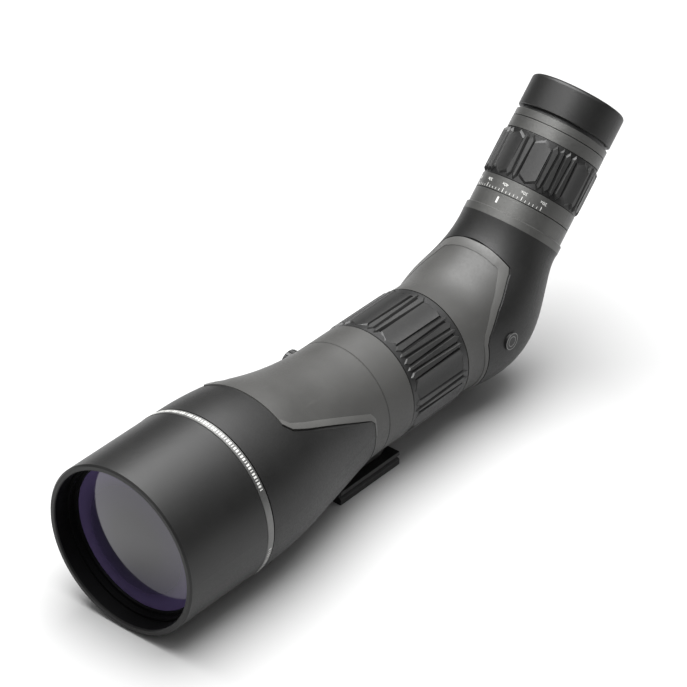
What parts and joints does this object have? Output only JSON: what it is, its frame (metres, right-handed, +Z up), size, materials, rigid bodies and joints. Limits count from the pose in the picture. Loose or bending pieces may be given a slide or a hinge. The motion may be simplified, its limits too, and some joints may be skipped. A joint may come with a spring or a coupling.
{
  "type": "angled spotting scope",
  "caption": "Angled spotting scope with sliding sunshade, rotating lockable tripod collar, focus ring, zoom eyepiece ring and twist-up eyecup.",
  "frame": {"origin": "mouth of the tripod thread, in the middle of the foot's underside", "axes": "+Z up out of the tripod head, -Y towards the objective, +X to the scope's left as seen from the eyepiece"},
  "size_m": [0.0946, 0.3859, 0.1593],
  "materials": {
    "armor_rubber": "fine-grained soft-touch rubber armour, near black",
    "shade_rubber": "satin black rubber skin",
    "grip_rubber": "moulded black rubber with lands and ribs",
    "eyecup_soft": "soft matt black rubber",
    "grey_coat": "warm grey satin coating on cast magnesium",
    "dark_anodised": "dark grey anodised aluminium",
    "black_anodised": "matt black anodised aluminium, blackened inside",
    "black_coat": "semi-matt black coating",
    "bare_band": "fine turned satin aluminium",
    "steel": "bright turned steel",
    "black_steel": "black oxide steel",
    "brass_pin": "turned brass",
    "shoe_plastic": "natural acetal",
    "guide_plastic": "black acetal",
    "badge_plastic": "plain dark inlay",
    "coated_glass": "anti-reflection coated optical glass with a violet sheen",
    "clear_glass": "clear optical glass"
  },
  "bodies": {
    "tripod_mount": {"tripod_collar": "grey_coat", "mounting_foot": "black_coat", "thread_insert": "steel", "foot_screw_left": "black_steel", "foot_screw_right": "black_steel"},
    "lock_knob": {"lock_knob": "black_coat", "lock_stem": "steel"},
    "brake_shoe": {"brake_shoe": "shoe_plastic"},
    "scope_body": {"main_body": "grey_coat", "front_armor": "armor_rubber", "objective_barrel": "black_anodised", "objective_cell": "black_anodised", "objective_ring": "black_anodised", "front_lens": "coated_glass", "lens_spacer": "black_anodised", "rear_lens": "clear_glass", "stray_light_ring": "black_anodised", "collar_retainer": "black_anodised", "focus_guide_tube": "black_anodised", "prism_housing": "grey_coat", "rear_armor": "armor_rubber", "badge": "badge_plastic", "prism_frame": "black_coat", "roof_prism": "clear_glass", "prism_strap": "black_coat", "strap_screw_left": "steel", "strap_screw_right": "steel", "eyepiece_collar": "dark_anodised", "index_ring": "dark_anodised", "eyepiece_tube": "black_anodised", "field_lens": "clear_glass", "field_stop": "black_anodised", "eye_lens": "coated_glass", "eye_lens_ring": "black_anodised", "top_ring": "dark_anodised", "neck_cap": "black_anodised"},
    "sunshade": {"sunshade_sleeve": "black_anodised", "sunshade_rubber": "shade_rubber", "sunshade_band": "bare_band"},
    "focus_ring": {"focus_ring_core": "dark_anodised", "focus_grip": "grip_rubber"},
    "focus_carriage": {"focus_carriage": "black_anodised", "focus_lens": "clear_glass", "focus_pin": "brass_pin"},
    "zoom_ring": {"zoom_ring_core": "dark_anodised", "zoom_grip": "grip_rubber", "zoom_cam_sleeve": "black_anodised"},
    "zoom_cell_lower": {"zoom_cell_lower": "black_anodised", "zoom_lens_lower": "clear_glass", "zoom_pin_lower": "brass_pin"},
    "zoom_cell_upper": {"zoom_cell_upper": "black_anodised", "zoom_lens_upper": "clear_glass", "zoom_pin_upper": "brass_pin"},
    "eyecup_guide": {"eyecup_guide_ring": "guide_plastic"},
    "eyecup": {"eyecup_sleeve": "guide_plastic", "eyecup_rubber": "eyecup_soft"}
  },
  "joints": [
    {"name": "collar_rotation", "type": "hinge", "parent": "tripod_mount", "child": "scope_body", "pos_m": [0, 0.006, 0.0479], "axis": [0, 1, 0], "continuous": true},
    {"name": "lock_knob_turn", "type": "hinge", "parent": "tripod_mount", "child": "lock_knob", "pos_m": [-0.04, 0.006, 0.0479], "axis": [-1, 0, 0], "range_deg": [0, 270]},
    {"name": "brake_shoe_slide", "type": "slide", "parent": "tripod_mount", "child": "brake_shoe", "axis": [-1, 0, 0], "range_m": [0, 0.0006]},
    {"name": "sunshade_slide", "type": "slide", "parent": "scope_body", "child": "sunshade", "axis": [0, -1, 0], "range_m": [0, 0.032]},
    {"name": "focus_turn", "type": "hinge", "parent": "scope_body", "child": "focus_ring", "pos_m": [0, 0.039, 0.0479], "axis": [0, 1, 0], "range_deg": [-270, 270]},
    {"name": "focus_carriage_slide", "type": "slide", "parent": "scope_body", "child": "focus_carriage", "axis": [0, 1, 0], "range_m": [-0.0075, 0.0075]},
    {"name": "zoom_turn", "type": "hinge", "parent": "scope_body", "child": "zoom_ring", "pos_m": [0, 0.1636, 0.108], "axis": [0, 0.7071, 0.7071], "range_deg": [-49, 49]},
    {"name": "zoom_cell_lower_slide", "type": "slide", "parent": "scope_body", "child": "zoom_cell_lower", "axis": [0, 0.7071, 0.7071], "range_m": [-0.0041, 0.0041]},
    {"name": "zoom_cell_upper_slide", "type": "slide", "parent": "scope_body", "child": "zoom_cell_upper", "axis": [0, 0.7071, 0.7071], "range_m": [-0.0041, 0.0041]},
    {"name": "eyecup_twist", "type": "hinge", "parent": "scope_body", "child": "eyecup_guide", "pos_m": [0, 0.18482, 0.12922], "axis": [0, 0.7071, 0.7071], "range_deg": [0, 180]},
    {"name": "eyecup_rise", "type": "slide", "parent": "eyecup_guide", "child": "eyecup", "axis": [0, 0.7071, 0.7071], "range_m": [0, 0.01]}
  ],
  "couplings": [
    {"joint": "brake_shoe_slide", "follows": "lock_knob_turn", "m_per_rad": 0.00012732},
    {"joint": "focus_carriage_slide", "follows": "focus_turn", "m_per_rad": -0.0015915},
    {"joint": "zoom_cell_lower_slide", "follows": "zoom_turn", "m_per_rad": -0.0047746},
    {"joint": "zoom_cell_upper_slide", "follows": "zoom_turn", "m_per_rad": 0.0047746},
    {"joint": "eyecup_rise", "follows": "eyecup_twist", "m_per_rad": 0.0031831}
  ]
}
